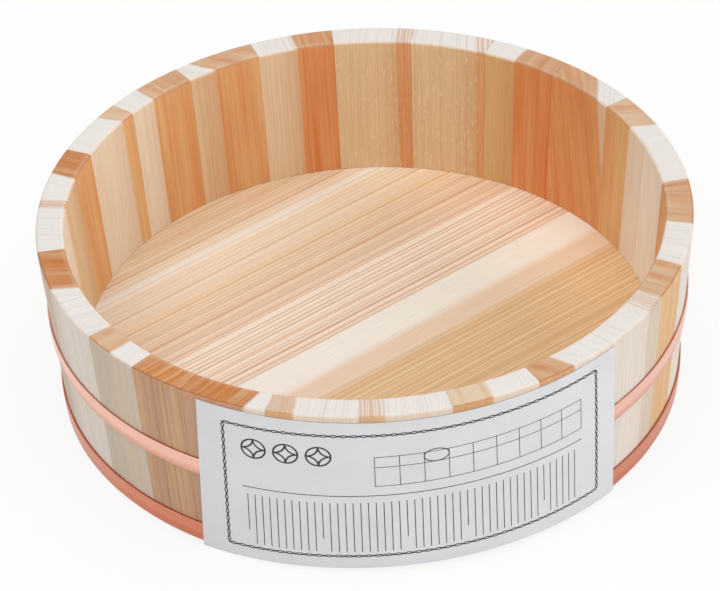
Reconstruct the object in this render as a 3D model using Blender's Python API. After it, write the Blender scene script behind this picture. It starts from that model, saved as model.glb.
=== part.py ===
"""Sushi rice tub: wooden staves round a grooved-in board, held by two copper hoops.

Metres, +Z up. The origin is on the tub's axis at floor level. -Y is the front,
where the middle of the paper label is. Azimuths run anticlockwise from +X.
"""
import math

import bmesh
import bpy
from mathutils import Matrix, Vector

# Whole tub
RIM_DIAMETER = 0.270
BASE_DIAMETER = 0.257
HEIGHT = 0.083
WALL = 0.0115
RIM_ROUNDING = 0.0010
FOOT_CHAMFER = 0.0012

# Staves: equal ones, and narrower ones that close the ring
REGULAR_STAVES = 21
CLOSING_STAVE_WIDTHS = (0.0255, 0.0273, 0.0245)
CLOSING_STAVES_START = math.radians(-163.6)
HEARTWOOD_STAVES = (3, 4, 10, 14, 15, 18, 19, 20, 22, 24)

# Bottom board: planks side by side, with an edge that sits in the staves' groove
BOARD_TOP = 0.0195
BOARD_THICKNESS = 0.0110
BOARD_EDGE_THICKNESS = 0.0080
BOARD_EDGE_BEVEL = 0.0060
GROOVE_DEPTH = 0.0030
PLANK_JOINTS = (-0.064, 0.008)
GRAIN_AZIMUTH = math.radians(30.3)

# Copper hoops
HOOP_THICKNESS = 0.0012
HOOP_EDGE_ROUNDING = 0.0004
UPPER_HOOP_HEIGHT = 0.0084
UPPER_HOOP_BOTTOM = 0.0397
LOWER_HOOP_HEIGHT = 0.0092
LOWER_HOOP_BOTTOM = 0.0024
HOOP_LAP_LENGTH = 0.016
HOOP_LAP_RISE = 0.010
HOOP_LAP_THICKNESS = 0.0008
HOOP_LAP_AZIMUTH = math.radians(90)

# Bamboo pegs
STAVE_PEG_DIAMETER = 0.0030
STAVE_PEG_LENGTH = 0.0140
STAVE_PEG_HEIGHT = 0.0560
PLANK_PEG_DIAMETER = 0.0030
PLANK_PEG_LENGTH = 0.0240
PLANK_PEG_SPACING = 0.096

# Paper label
LABEL_WIDTH = 0.178
LABEL_BOTTOM = 0.0006
LABEL_TOP = 0.0810
LABEL_THICKNESS = 0.00025
LABEL_AZIMUTH = math.radians(-90)

# Clearance between pieces that touch, and how finely round shapes are faceted
CLEARANCE = 0.0003
FACET_ANGLE = math.radians(3.2)
ROUNDING_STEPS = 2
PEG_SIDES = 8
SHARP_ANGLE = math.radians(28)


def outer_radius(z):
    """Outside radius of the stave wall at height z: it widens evenly towards the rim."""
    base = BASE_DIAMETER / 2
    rim = RIM_DIAMETER / 2
    return base + (rim - base) * z / HEIGHT


def inner_radius(z):
    """Inside radius of the stave wall at height z."""
    return outer_radius(z) - WALL


def groove_radius():
    """Radius of the floor of the groove that holds the board."""
    return inner_radius(BOARD_TOP) + GROOVE_DEPTH


def board_radius():
    """Radius of the board, whose edge stops just short of the groove's floor."""
    return groove_radius() - CLEARANCE


def arc(centre_r, centre_z, radius, start, end):
    """Points of a rounding in the profile plane, from one angle in degrees to another."""
    points = []
    for step in range(ROUNDING_STEPS + 1):
        angle = math.radians(start + (end - start) * step / ROUNDING_STEPS)
        points.append((centre_r + radius * math.cos(angle), centre_z + radius * math.sin(angle)))
    return points


def facets(angle):
    """Number of facets for a turn through an angle."""
    return max(1, math.ceil(angle / FACET_ANGLE - 1e-6))


def polar(radius, azimuth, z):
    """Point at a radius and azimuth round the tub's axis."""
    return Vector((radius * math.cos(azimuth), radius * math.sin(azimuth), z))


def plain_material(name, colour, roughness, metallic=0.0):
    """Principled material of one colour."""
    material = bpy.data.materials.new(name)
    material.use_nodes = True
    shader = material.node_tree.nodes["Principled BSDF"]
    shader.inputs["Base Color"].default_value = (*colour, 1.0)
    shader.inputs["Roughness"].default_value = roughness
    shader.inputs["Metallic"].default_value = metallic
    material.diffuse_color = (*colour, 1.0)
    return material


def mesh_from(bm, name):
    """Turn a bmesh into a mesh whose faces point out and whose round faces are smooth."""
    bmesh.ops.recalc_face_normals(bm, faces=bm.faces)
    mesh = bpy.data.meshes.new(name)
    bm.to_mesh(mesh)
    bm.free()
    mesh.shade_smooth()
    mesh.set_sharp_from_angle(angle=SHARP_ANGLE)
    return mesh


def add_piece(name, mesh, material, parent, azimuth=0.0):
    """Add a named piece of the tub, turned to its azimuth round the tub's axis."""
    piece = bpy.data.objects.new(name, mesh)
    piece.rotation_euler.z = azimuth
    piece.parent = parent
    if not mesh.materials:
        mesh.materials.append(material)
    bpy.context.scene.collection.objects.link(piece)
    return piece


def cut(piece, cutter):
    """Cut a piece with a cutter."""
    boolean = piece.modifiers.new(cutter.name, "BOOLEAN")
    boolean.operation = "DIFFERENCE"
    boolean.solver = "EXACT"
    boolean.object = cutter


def skin(sections, closed):
    """Faces between each section and the next; an open row of sections gets end faces."""
    bm = bmesh.new()
    loops = [[bm.verts.new(point) for point in section] for section in sections]
    following = loops[1:] + loops[:1] if closed else loops[1:]
    for this, after in zip(loops, following):
        for corner in range(len(this)):
            previous = corner - 1
            bm.faces.new((this[previous], after[previous], after[corner], this[corner]))
    if not closed:
        bm.faces.new(loops[0])
        bm.faces.new(loops[-1])
    return bm


def across_joint(centre, direction):
    """Place of a peg: its centre, and its length turned to cross the joint."""
    turn = Vector((0, 0, 1)).rotation_difference(direction)
    return Matrix.Translation(centre) @ turn.to_matrix().to_4x4()


def add_pegs(name, places, diameter, length, material, parent):
    """Round pegs of one size, one to each place."""
    bm = bmesh.new()
    bmesh.ops.create_cone(bm, cap_ends=True, segments=PEG_SIDES, radius1=diameter / 2,
                          radius2=diameter / 2, depth=length)
    mesh = mesh_from(bm, name)
    for number, place in enumerate(places, start=1):
        peg = add_piece(f"{name}_{number:02d}", mesh, material, parent)
        peg.matrix_basis = place


def add_peg_holes(name, places, diameter, length, parent):
    """A guide that cuts the pegs' holes, a clearance larger all round than the pegs."""
    bm = bmesh.new()
    radius = diameter / 2 + CLEARANCE
    for place in places:
        bmesh.ops.create_cone(bm, cap_ends=True, segments=PEG_SIDES, radius1=radius,
                              radius2=radius, depth=length + 2 * CLEARANCE, matrix=place)
    holes = bpy.data.objects.new(name, mesh_from(bm, name))
    holes.parent = parent
    holes.hide_render = True
    holes.display_type = "WIRE"
    bpy.context.scene.collection.objects.link(holes)
    return holes


# Staves

def stave_spans():
    """Start and end azimuth of each stave, anticlockwise from the narrow closing staves."""
    closing = [width / (RIM_DIAMETER / 2) for width in CLOSING_STAVE_WIDTHS]
    regular = (2 * math.pi - sum(closing)) / REGULAR_STAVES
    spans = []
    start = CLOSING_STAVES_START
    for angle in closing + [regular] * REGULAR_STAVES:
        spans.append((start, start + angle))
        start += angle
    return spans


def stave_profile():
    """Outline of a stave in its radial plane: rounded rim, board groove, chamfered foot."""
    groove_top = BOARD_TOP + CLEARANCE
    groove_bottom = BOARD_TOP - BOARD_EDGE_THICKNESS - CLEARANCE
    shoulder = HEIGHT - RIM_ROUNDING
    points = [(outer_radius(0) - FOOT_CHAMFER, 0), (outer_radius(FOOT_CHAMFER), FOOT_CHAMFER)]
    points += arc(outer_radius(shoulder) - RIM_ROUNDING, shoulder, RIM_ROUNDING, 0, 90)
    points += arc(inner_radius(shoulder) + RIM_ROUNDING, shoulder, RIM_ROUNDING, 90, 180)
    points.append((inner_radius(groove_top), groove_top))
    points.append((groove_radius(), groove_top))
    points.append((groove_radius(), groove_bottom))
    points.append((inner_radius(groove_bottom), groove_bottom))
    points.append((inner_radius(FOOT_CHAMFER), FOOT_CHAMFER))
    points.append((inner_radius(0) + FOOT_CHAMFER, 0))
    return points


def stave_mesh(angle, name):
    """Spin the stave's outline through its angle, less its half of the two joint gaps."""
    solid_angle = angle - CLEARANCE / outer_radius(HEIGHT / 2)
    bm = bmesh.new()
    outline = [bm.verts.new(polar(r, -solid_angle / 2, z)) for r, z in stave_profile()]
    edges = [bm.edges.new((a, b)) for a, b in zip(outline, outline[1:] + outline[:1])]
    bmesh.ops.spin(bm, geom=outline + edges, cent=(0, 0, 0), axis=(0, 0, 1),
                   angle=solid_angle, steps=facets(solid_angle))
    bmesh.ops.holes_fill(bm, edges=bm.edges, sides=0)
    return mesh_from(bm, name)


def stave_peg_places(spans):
    """One peg to each joint, in the middle of the wall."""
    radius = outer_radius(STAVE_PEG_HEIGHT) - WALL / 2
    return [across_joint(polar(radius, joint, STAVE_PEG_HEIGHT), polar(1, joint + math.pi / 2, 0))
            for joint, _ in spans]


def build_staves(parent, sapwood, heartwood, peg_wood):
    """The ring of staves, and the pegs that locate each one on the next."""
    spans = stave_spans()
    places = stave_peg_places(spans)
    holes = add_peg_holes("stave_peg_holes", places, STAVE_PEG_DIAMETER, STAVE_PEG_LENGTH, parent)
    for number, (start, end) in enumerate(spans, start=1):
        name = f"stave_{number:02d}"
        wood = heartwood if number in HEARTWOOD_STAVES else sapwood
        stave = add_piece(name, stave_mesh(end - start, name), wood, parent, (start + end) / 2)
        cut(stave, holes)
    add_pegs("stave_peg", places, STAVE_PEG_DIAMETER, STAVE_PEG_LENGTH, peg_wood, parent)


# Bottom board

def board_blank():
    """The round board before it is divided: a disc thinned to a tongue that fits the groove."""
    tongue_bottom = BOARD_TOP - BOARD_EDGE_THICKNESS
    tongue_root = inner_radius(tongue_bottom - CLEARANCE) - CLEARANCE
    edge_profile = [(board_radius(), BOARD_TOP),
                    (board_radius(), tongue_bottom),
                    (tongue_root, tongue_bottom),
                    (tongue_root - BOARD_EDGE_BEVEL, BOARD_TOP - BOARD_THICKNESS)]
    bm = bmesh.new()
    outline = [bm.verts.new(polar(r, 0, z)) for r, z in edge_profile]
    edges = [bm.edges.new(pair) for pair in zip(outline, outline[1:])]
    bmesh.ops.spin(bm, geom=outline + edges, cent=(0, 0, 0), axis=(0, 0, 1),
                   angle=2 * math.pi, steps=facets(2 * math.pi), use_merge=True)
    bmesh.ops.holes_fill(bm, edges=bm.edges, sides=0)
    return bm


def plank_mesh(near, far, name):
    """Part of the board between two joints, each of which keeps half the clearance."""
    bm = board_blank()
    for offset, side in ((near + CLEARANCE / 2, -1), (far - CLEARANCE / 2, 1)):
        bmesh.ops.bisect_plane(bm, geom=bm.verts[:] + bm.edges[:] + bm.faces[:],
                               plane_co=(0, offset, 0), plane_no=(0, side, 0), clear_outer=True)
        bmesh.ops.holes_fill(bm, edges=bm.edges, sides=0)
    return mesh_from(bm, name)


def plank_peg_places():
    """Two pegs to each joint between planks, in the middle of the board's thickness."""
    grain = Matrix.Rotation(GRAIN_AZIMUTH, 4, "Z")
    height = BOARD_TOP - BOARD_THICKNESS / 2
    return [grain @ across_joint(Vector((side * PLANK_PEG_SPACING / 2, joint, height)),
                                 Vector((0, 1, 0)))
            for joint in PLANK_JOINTS for side in (-1, 1)]


def build_board(parent, wood, peg_wood):
    """The planks of the board and the pegs across their joints, laid along the grain."""
    places = plank_peg_places()
    holes = add_peg_holes("plank_peg_holes", places, PLANK_PEG_DIAMETER, PLANK_PEG_LENGTH, parent)
    front, back = -2 * board_radius(), 2 * board_radius()
    edges = (front, *PLANK_JOINTS, back)
    for number, (near, far) in enumerate(zip(edges, edges[1:]), start=1):
        name = f"bottom_plank_{number}"
        plank = add_piece(name, plank_mesh(near, far, name), wood, parent, GRAIN_AZIMUTH)
        cut(plank, holes)
    add_pegs("plank_peg", places, PLANK_PEG_DIAMETER, PLANK_PEG_LENGTH, peg_wood, parent)


# Copper hoops

def hoop_section(bottom, height, lap):
    """Section of the band, which leans with the wall; its outer face stands out by the lap."""
    rounding = HOOP_EDGE_ROUNDING
    section = [(0, 0), (HOOP_THICKNESS + lap - rounding, 0), (HOOP_THICKNESS + lap, rounding),
               (HOOP_THICKNESS + lap, height - rounding),
               (HOOP_THICKNESS + lap - rounding, height), (0, height)]
    return [(outer_radius(bottom + z) + CLEARANCE + r, bottom + z) for r, z in section]


def lap_height(arc_length):
    """How far the lapped end stands out at a distance along the band from its cut edge."""
    if arc_length < 0 or arc_length > HOOP_LAP_LENGTH + HOOP_LAP_RISE:
        return 0.0
    rise = min(1.0, (HOOP_LAP_LENGTH + HOOP_LAP_RISE - arc_length) / HOOP_LAP_RISE)
    return HOOP_LAP_THICKNESS * rise


def hoop_azimuths(bottom):
    """Azimuths of the band's sections: even facets, and the lap's cut edge and rise."""
    lap_turn = (HOOP_LAP_LENGTH + HOOP_LAP_RISE) / outer_radius(bottom)
    flat_turn = HOOP_LAP_LENGTH / outer_radius(bottom)
    cut_turn = HOOP_EDGE_ROUNDING / outer_radius(bottom)
    rest_turn = 2 * math.pi - lap_turn - cut_turn
    rest_steps = facets(rest_turn)
    turns = [-cut_turn, 0.0, flat_turn / 2, flat_turn, (flat_turn + lap_turn) / 2]
    turns += [lap_turn + rest_turn * step / rest_steps for step in range(rest_steps)]
    return turns


def build_hoop(name, bottom, height, copper, parent):
    """A copper band driven on over the taper, its two ends lapped and brazed."""
    sections = []
    for turn in hoop_azimuths(bottom):
        lap = lap_height(turn * outer_radius(bottom))
        sections.append([polar(r, turn, z) for r, z in hoop_section(bottom, height, lap)])
    mesh = mesh_from(skin(sections, closed=True), name)
    add_piece(name, mesh, copper, parent, HOOP_LAP_AZIMUTH)


# Paper label

def label_profile():
    """Back face of the label: hanging over both hoops, its top laid on the staves."""
    proud = HOOP_THICKNESS + 2 * CLEARANCE
    heights = (LABEL_BOTTOM, LOWER_HOOP_BOTTOM + LOWER_HOOP_HEIGHT, UPPER_HOOP_BOTTOM,
               UPPER_HOOP_BOTTOM + UPPER_HOOP_HEIGHT)
    profile = [(outer_radius(z) + proud, z) for z in heights]
    profile.append((outer_radius(LABEL_TOP) + CLEARANCE, LABEL_TOP))
    return profile


def build_label(paper, parent):
    """A sheet of paper bent round the front; each level keeps the sheet's width."""
    columns = facets(LABEL_WIDTH / outer_radius(HEIGHT / 2))
    back = label_profile()
    outline = back + [(r + LABEL_THICKNESS, z) for r, z in reversed(back)]
    sections = []
    for column in range(columns + 1):
        across = LABEL_WIDTH * (column / columns - 0.5)
        sections.append([polar(r, across / r, z) for r, z in outline])
    mesh = mesh_from(skin(sections, closed=False), "paper_label")
    add_piece("paper_label", mesh, paper, parent, LABEL_AZIMUTH)


def build_tub():
    """Put the tub together."""
    for old in list(bpy.data.objects):
        bpy.data.objects.remove(old, do_unlink=True)
    tub = bpy.data.objects.new("sushi_rice_tub", None)
    bpy.context.scene.collection.objects.link(tub)
    sapwood = plain_material("sawara_sapwood", (0.76, 0.62, 0.45), 0.62)
    heartwood = plain_material("sawara_heartwood", (0.62, 0.30, 0.13), 0.60)
    board_wood = plain_material("sawara_board", (0.76, 0.52, 0.33), 0.55)
    bamboo = plain_material("bamboo", (0.62, 0.47, 0.22), 0.50)
    copper = plain_material("copper", (0.85, 0.42, 0.30), 0.28, metallic=1.0)
    paper = plain_material("paper", (0.74, 0.75, 0.78), 0.75)
    build_staves(tub, sapwood, heartwood, bamboo)
    build_board(tub, board_wood, bamboo)
    build_hoop("upper_hoop", UPPER_HOOP_BOTTOM, UPPER_HOOP_HEIGHT, copper, tub)
    build_hoop("lower_hoop", LOWER_HOOP_BOTTOM, LOWER_HOOP_HEIGHT, copper, tub)
    build_label(paper, tub)


build_tub()
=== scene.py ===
"""Looks of a wooden rice tub: staves, bottom board, copper hoops and paper label.

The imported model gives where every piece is. Lengths are in metres, written as
a number of millimetres times mm. Azimuths run anticlockwise from +X, and -Y is
the front, where the middle of the label is.
"""
import math

import bpy
import numpy as np
from mathutils import Matrix, Vector


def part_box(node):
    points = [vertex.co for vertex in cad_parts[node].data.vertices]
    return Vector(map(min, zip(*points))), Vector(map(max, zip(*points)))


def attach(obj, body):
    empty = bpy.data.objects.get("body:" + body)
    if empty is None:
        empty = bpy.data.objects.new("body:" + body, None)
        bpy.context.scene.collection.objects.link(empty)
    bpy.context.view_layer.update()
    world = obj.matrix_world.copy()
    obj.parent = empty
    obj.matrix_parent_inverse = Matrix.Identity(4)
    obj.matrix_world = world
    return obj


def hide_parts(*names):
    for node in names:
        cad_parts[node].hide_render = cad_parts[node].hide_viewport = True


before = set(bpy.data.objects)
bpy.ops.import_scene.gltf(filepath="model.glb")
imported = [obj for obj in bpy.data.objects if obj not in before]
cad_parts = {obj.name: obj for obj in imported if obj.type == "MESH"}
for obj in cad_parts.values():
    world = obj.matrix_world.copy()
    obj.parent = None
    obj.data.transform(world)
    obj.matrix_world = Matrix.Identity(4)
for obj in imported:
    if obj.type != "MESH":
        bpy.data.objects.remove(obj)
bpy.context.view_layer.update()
mm = 0.001

# Camera, table and light
# A long lens looks down on the tub from the front, a little to the left. The table is a plain
# white sheet. The surround is pale, and brighter low down on the right than on the left. Two
# broad soft lamps hang high over the tub.

CAMERA_AT = Vector((-166.2, -1315.4, 1050.1)) * mm
CAMERA_AIM = Vector((-3.5, -1.2, 40.0)) * mm
CAMERA_ROLL = math.radians(-2.775)
LENS = 200.0
SENSOR_WIDTH = 36.0
TABLETOP_SIZE = 12.0
TABLETOP_GLOW = 0.85
BRIGHT_SIDE = (0.87, -0.5, 0)
SURROUND_MEAN, SURROUND_SWING = 0.75, 1.1
# Name, place, size and power of each lamp.
LAMPS = (("right_lamp", (0.55, -0.25, 2.1), 1.0, 7), ("left_lamp", (-0.95, -0.3, 1.9), 1.2, 10.5))


def linear(code):
    """Linear colour of an sRGB hex code."""
    channels = [int(code[i:i + 2], 16) / 255 for i in (1, 3, 5)]
    return (*[c / 12.92 if c <= 0.04045 else ((c + 0.055) / 1.055) ** 2.4 for c in channels], 1.0)


def add(tree, kind, inputs=None, **settings):
    """Add a shader node, set its options, and fill or link its inputs."""
    node = tree.nodes.new("ShaderNode" + kind)
    for option, value in settings.items():
        setattr(node, option, value)
    for key, value in (inputs or {}).items():
        if isinstance(value, bpy.types.NodeSocket):
            tree.links.new(value, node.inputs[key])
        else:
            node.inputs[key].default_value = value
    return node


def new_material(name):
    """An empty node material and its tree."""
    material = bpy.data.materials.new(name)
    material.use_nodes = True
    material.node_tree.nodes.clear()
    return material, material.node_tree


def seen_ray(tree):
    """1 for what the camera sees, straight or mirrored, and 0 for light that falls on the tub."""
    ray = add(tree, "LightPath")
    return add(tree, "Math", {0: ray.outputs["Is Camera Ray"], 1: ray.outputs["Is Glossy Ray"]},
               operation="MAXIMUM").outputs[0]


def add_lamp(name, place, size, power):
    """A square soft lamp that faces the middle of the tub."""
    lamp_data = bpy.data.lights.new(name, "AREA")
    lamp_data.size = size
    lamp_data.energy = power
    lamp = bpy.data.objects.new(name, lamp_data)
    lamp.location = place
    lamp.rotation_euler = (CAMERA_AIM - lamp.location).to_track_quat("-Z", "Y").to_euler()
    bpy.context.scene.collection.objects.link(lamp)


camera_data = bpy.data.cameras.new("camera")
camera_data.lens = LENS
camera_data.sensor_width = SENSOR_WIDTH
camera_data.clip_end = 50
camera = bpy.data.objects.new("camera", camera_data)
camera.location = CAMERA_AT
aim = (CAMERA_AIM - CAMERA_AT).to_track_quat("-Z", "Y").to_matrix()
camera.rotation_euler = (aim @ Matrix.Rotation(CAMERA_ROLL, 3, "Z")).to_euler()
bpy.context.scene.collection.objects.link(camera)
bpy.context.scene.camera = camera
bpy.context.scene.view_settings.view_transform = "Standard"

bpy.ops.mesh.primitive_plane_add(size=TABLETOP_SIZE)
table = bpy.context.object
table.name = "table"
material, tree = new_material("white_table")
paint = add(tree, "BsdfDiffuse", {"Color": linear("#f2f2f2")})
glow = add(tree, "Emission", {"Color": (1, 1, 1, 1), "Strength": 1.0})
veil = add(tree, "Math", {0: seen_ray(tree), 1: TABLETOP_GLOW}, operation="MULTIPLY")
top = add(tree, "MixShader", {"Fac": veil.outputs[0], 1: paint.outputs[0], 2: glow.outputs[0]})
add(tree, "OutputMaterial", {"Surface": top.outputs[0]})
table.data.materials.append(material)

world = bpy.data.worlds.new("surround")
world.use_nodes = True
tree = world.node_tree
tree.nodes.clear()
place = add(tree, "TexCoord").outputs["Generated"]
bright_side = add(tree, "VectorMath", {0: place, 1: BRIGHT_SIDE}, operation="DOT_PRODUCT")
_, _, upwards = add(tree, "SeparateXYZ", {0: place}).outputs
low = add(tree, "Math", {0: 1.0, 1: upwards}, operation="SUBTRACT").outputs[0]
low = add(tree, "Math", {0: low, 1: 2.0}, operation="POWER").outputs[0]
beside = add(tree, "Math", {0: bright_side.outputs["Value"], 1: low}, operation="MULTIPLY").outputs[0]
strength = add(tree, "Math", {0: beside, 1: SURROUND_SWING, 2: SURROUND_MEAN},
               operation="MULTIPLY_ADD").outputs[0]
surround = add(tree, "Background", {"Color": linear("#ffffff"), "Strength": strength})
backdrop = add(tree, "Background", {"Color": (1, 1, 1, 1), "Strength": 1.0})
sky = add(tree, "MixShader", {"Fac": seen_ray(tree), 1: surround.outputs[0], 2: backdrop.outputs[0]})
add(tree, "OutputWorld", {"Surface": sky.outputs[0]})
bpy.context.scene.world = world

for lamp in LAMPS:
    add_lamp(*lamp)

# Staves
# Sawara cypress, split so that the growth rings cross the wall, planed to a curve inside and out
# and joined edge to edge. Each shows pale sapwood beside orange heartwood, as it came from the
# log. The rim is planed flat with its edges eased, and a groove inside holds the board.

RIM_RADIUS = 135 * mm
BASE_RADIUS = 128.5 * mm
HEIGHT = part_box("stave_01")[1][2]
WALL = 11.5 * mm
OUTER_ROUNDING = 1.1 * mm
INNER_ROUNDING = 1.2 * mm
FOOT_CHAMFER = 1.2 * mm
BOARD_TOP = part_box("bottom_plank_1")[1][2]
BOARD_EDGE_THICKNESS = 8 * mm
GROOVE_DEPTH = 3 * mm
SEAT_GAP = 0.15 * mm
CAD_JOINT = 0.3 * mm
JOINT_GAP = 0.04 * mm
ARRIS = 0.12 * mm
EDGE_SHEEN_WIDTH = 1.95 * mm
RUBBED_DEPTH = 5.1 * mm
SHEEN_AND_RUBBING_FADE = 1.5 * mm
LEAN = math.atan((RIM_RADIUS - BASE_RADIUS) / HEIGHT)
PITH_DISTANCE = 80 * mm
STAVE_COLUMNS = 19

# One row for each stave. The heartwood lies on the stave's right side, seen from the tub's axis,
# when side is 1, and on its left side when side is -1. Outer and inner are its width in
# millimetres at the two edges of the rim, below zero where there is none, and slant is how fast
# that grows further down. Red and rim say how red the heartwood is on the faces and on the rim's
# end grain, tan how tan the sapwood is, lines how clearly the growth rings show, and striped how
# far the heartwood is broken into rings. Ring is a year's growth in millimetres. Grey says how far
# the heartwood's outer face has lost its colour, and rays how many flecks the inner face shows.
STAVE_TIMBER = (
    # side, outer, inner, slant, red, rim, tan, lines, striped, ring, grey, rays
    (1, -20, -20, 0, 0.2, 0.2, 0.05, 0.9, 0.0, 1.6, 0.0, 0.0),
    (1, 13.7, 12.5, 0, 0.05, 0.40, 0.95, 0.2, 0.0, 2.2, 0.0, 0.0),
    (1, 45, 45, 0, 0.75, 0.86, 0.3, 1.6, 0.0, 1.2, 0.0, 0.0),
    (1, 26.9, 28.0, 0, 0.85, 0.84, 0.2, 0.6, 0.0, 1.6, 0.0, 0.0),
    (1, 10.6, 8.6, 0, 0.50, 0.56, 0.1, 0.8, 0.5, 1.4, 0.0, 0.0),
    (1, 9.7, 8.8, 0, 0.50, 0.66, 0.1, 0.7, 1.0, 1.4, 0.0, 0.0),
    (1, 16.2, 14.9, 0, 0.30, 0.03, 0.1, 0.2, 0.0, 2.4, 0.0, 0.0),
    (1, 16.5, 10.5, 0, 0.55, 0.50, 0.1, 0.4, 0.0, 1.5, 0.0, 0.0),
    (-1, 10.6, 9.7, 0, 0.15, 0.43, 0.1, 0.6, 0.9, 1.3, 0.3, 0.0),
    (1, 21.4, 21.1, 0, 0.45, 0.42, 0.1, 0.4, 0.0, 2.2, 0.0, 0.0),
    (-1, 22.4, 19.4, 0, 0.40, 0.50, 0.1, 0.6, 0.0, 1.9, 0.3, 0.0),
    (1, 8.2, 6.5, 0, 0.45, 0.50, 0.0, 0.2, 0.0, 2.0, 0.0, 0.0),
    (-1, 23.1, 17.7, 0, 0.42, 0.36, 0.18, 0.3, 0.0, 2.2, 0.0, 0.0),
    (-1, 16.0, 26.5, 0.12, 0.72, 0.56, 0.5, 0.6, 0.0, 2.0, 0.0, 0.0),
    (1, 20.3, 18.5, 0, 0.82, 0.60, 1.0, 0.3, 0.0, 2.1, 0.0, 0.0),
    (1, 8.2, 3.4, 0, 0.60, 0.70, 0.75, 0.7, 1.0, 2.1, 0.0, 1.0),
    (1, 6.6, 6.0, 0, 0.68, 0.55, 0.75, 0.7, 0.9, 1.3, 0.0, 0.8),
    (1, 17.4, 15.9, 0, 0.75, 0.68, 0.61, 0.8, 0.0, 2.2, 0.0, 0.0),
    (1, 29.7, 20.3, 0, 0.50, 0.46, 0.75, 0.6, 0.0, 1.6, 0.0, 0.0),
    (1, 21.9, 20.0, 0, 0.50, 0.51, 0.30, 0.4, 0.0, 2.4, 0.0, 0.0),
    (1, 10.8, 6.7, 0, 0.40, 0.22, 0.35, 0.2, 0.0, 2.0, 0.0, 0.0),
    (1, 17.2, 17.7, 0, 0.50, 0.82, 0.72, 0.2, 0.0, 2.2, 0.0, 0.0),
    (1, 5.2, 4.7, 0, 0.30, 0.53, 0.15, 0.6, 0.8, 1.6, 0.3, 0.0),
    (1, 25.4, 27.2, 0, 0.90, 0.78, 0.30, 0.3, 0.0, 2.4, 0.6, 0.0),
)

# How strongly the front staves' outer edges were rubbed when the label was put on.
RUBBED = {4: 1.2, 5: 2.5, 6: 2.5, 7: 2.5, 8: 1.4, 9: 0.5}


def wall_radius(z):
    """Outside radius of the wall at height z."""
    return BASE_RADIUS + (RIM_RADIUS - BASE_RADIUS) * z / HEIGHT


def rounding(centre, radius, start, end, steps=6):
    """Points of an arc in a profile's plane, from one angle in degrees to another."""
    angles = np.radians(np.linspace(start, end, steps + 1))
    return np.column_stack([centre[0] + radius * np.cos(angles), centre[1] + radius * np.sin(angles)])


def stave_outline():
    """Outline of a stave as (radius, height): up the outside, over the rim and down the inside."""
    shoulder = HEIGHT - OUTER_ROUNDING
    inner_shoulder = HEIGHT - INNER_ROUNDING
    groove_top = BOARD_TOP + SEAT_GAP
    groove_bottom = BOARD_TOP - BOARD_EDGE_THICKNESS - SEAT_GAP
    groove_floor = wall_radius(BOARD_TOP) - WALL + GROOVE_DEPTH
    outer_arc = wall_radius(shoulder) - OUTER_ROUNDING
    inner_arc = wall_radius(inner_shoulder) - WALL + INNER_ROUNDING
    outside = [(wall_radius(z), z) for z in (*np.linspace(FOOT_CHAMFER, HEIGHT - RUBBED_DEPTH, 8),
                                             HEIGHT - RUBBED_DEPTH + SHEEN_AND_RUBBING_FADE)]
    flat = [(r, HEIGHT) for r in np.linspace(outer_arc, inner_arc, 9)[1:-1]]
    inside = [(wall_radius(z) - WALL, z) for z in np.linspace(inner_shoulder, groove_top, 8)[1:]]
    below = [(groove_floor, groove_top), (groove_floor, groove_bottom),
             (wall_radius(groove_bottom) - WALL, groove_bottom),
             (wall_radius(FOOT_CHAMFER) - WALL, FOOT_CHAMFER),
             (wall_radius(0) - WALL + FOOT_CHAMFER, 0), (wall_radius(0) - FOOT_CHAMFER, 0)]
    return np.vstack([outside, rounding((outer_arc, shoulder), OUTER_ROUNDING, 0, 90), flat,
                      rounding((inner_arc, inner_shoulder), INNER_ROUNDING, 90, 180), inside,
                      below])


def stave_faces(outline, front):
    """How far each point of the outline is end grain, painted sheen and rubbed, and on the outer
    face.

    End grain comes in over the rounded edges of the rim. The painted sheen is a highlight along the
    rim's inner edge, and fades away within 2 mm of the inner face. On the front staves, which the
    label was rubbed down on, the same share also marks the top 5 mm of the outer face as rubbed.
    """
    r, z = outline.T
    outer = r > wall_radius(z) - WALL / 2
    easing = np.where(outer, OUTER_ROUNDING / 2, INNER_ROUNDING)
    end = np.clip(1 + (z - HEIGHT) / easing, 0, 1)
    end[z < FOOT_CHAMFER / 2] = 1
    # Painted highlight: a paler band along the rim's inner edge, fading away inwards.
    edge = np.clip((EDGE_SHEEN_WIDTH - (r - wall_radius(HEIGHT) + WALL)) / SHEEN_AND_RUBBING_FADE, 0, 1)
    rubbed = np.clip((z - HEIGHT + RUBBED_DEPTH) / SHEEN_AND_RUBBING_FADE, 0, 1) * (1 - end) * front
    sheen_and_rubbing = np.where(outer, rubbed, np.where(z > HEIGHT - INNER_ROUNDING, edge, 0))
    return np.column_stack([end, sheen_and_rubbing, outer])


def inset(outline, distance):
    """The closed outline moved inwards along the mean of its neighbouring edges' normals."""
    ahead = np.roll(outline, -1, axis=0) - outline
    behind = outline - np.roll(outline, 1, axis=0)
    along = ahead / np.linalg.norm(ahead, axis=1)[:, None]
    along += behind / np.linalg.norm(behind, axis=1)[:, None]
    along /= np.linalg.norm(along, axis=1)[:, None]
    return outline + distance * np.column_stack([-along[:, 1], along[:, 0]])


def turned(outlines, azimuths):
    """Grid of points: each outline of (radius, height) points set at its azimuth."""
    r, z = outlines[..., 0], outlines[..., 1]
    return np.stack([r * np.cos(azimuths)[:, None], r * np.sin(azimuths)[:, None], z], axis=-1)


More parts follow.
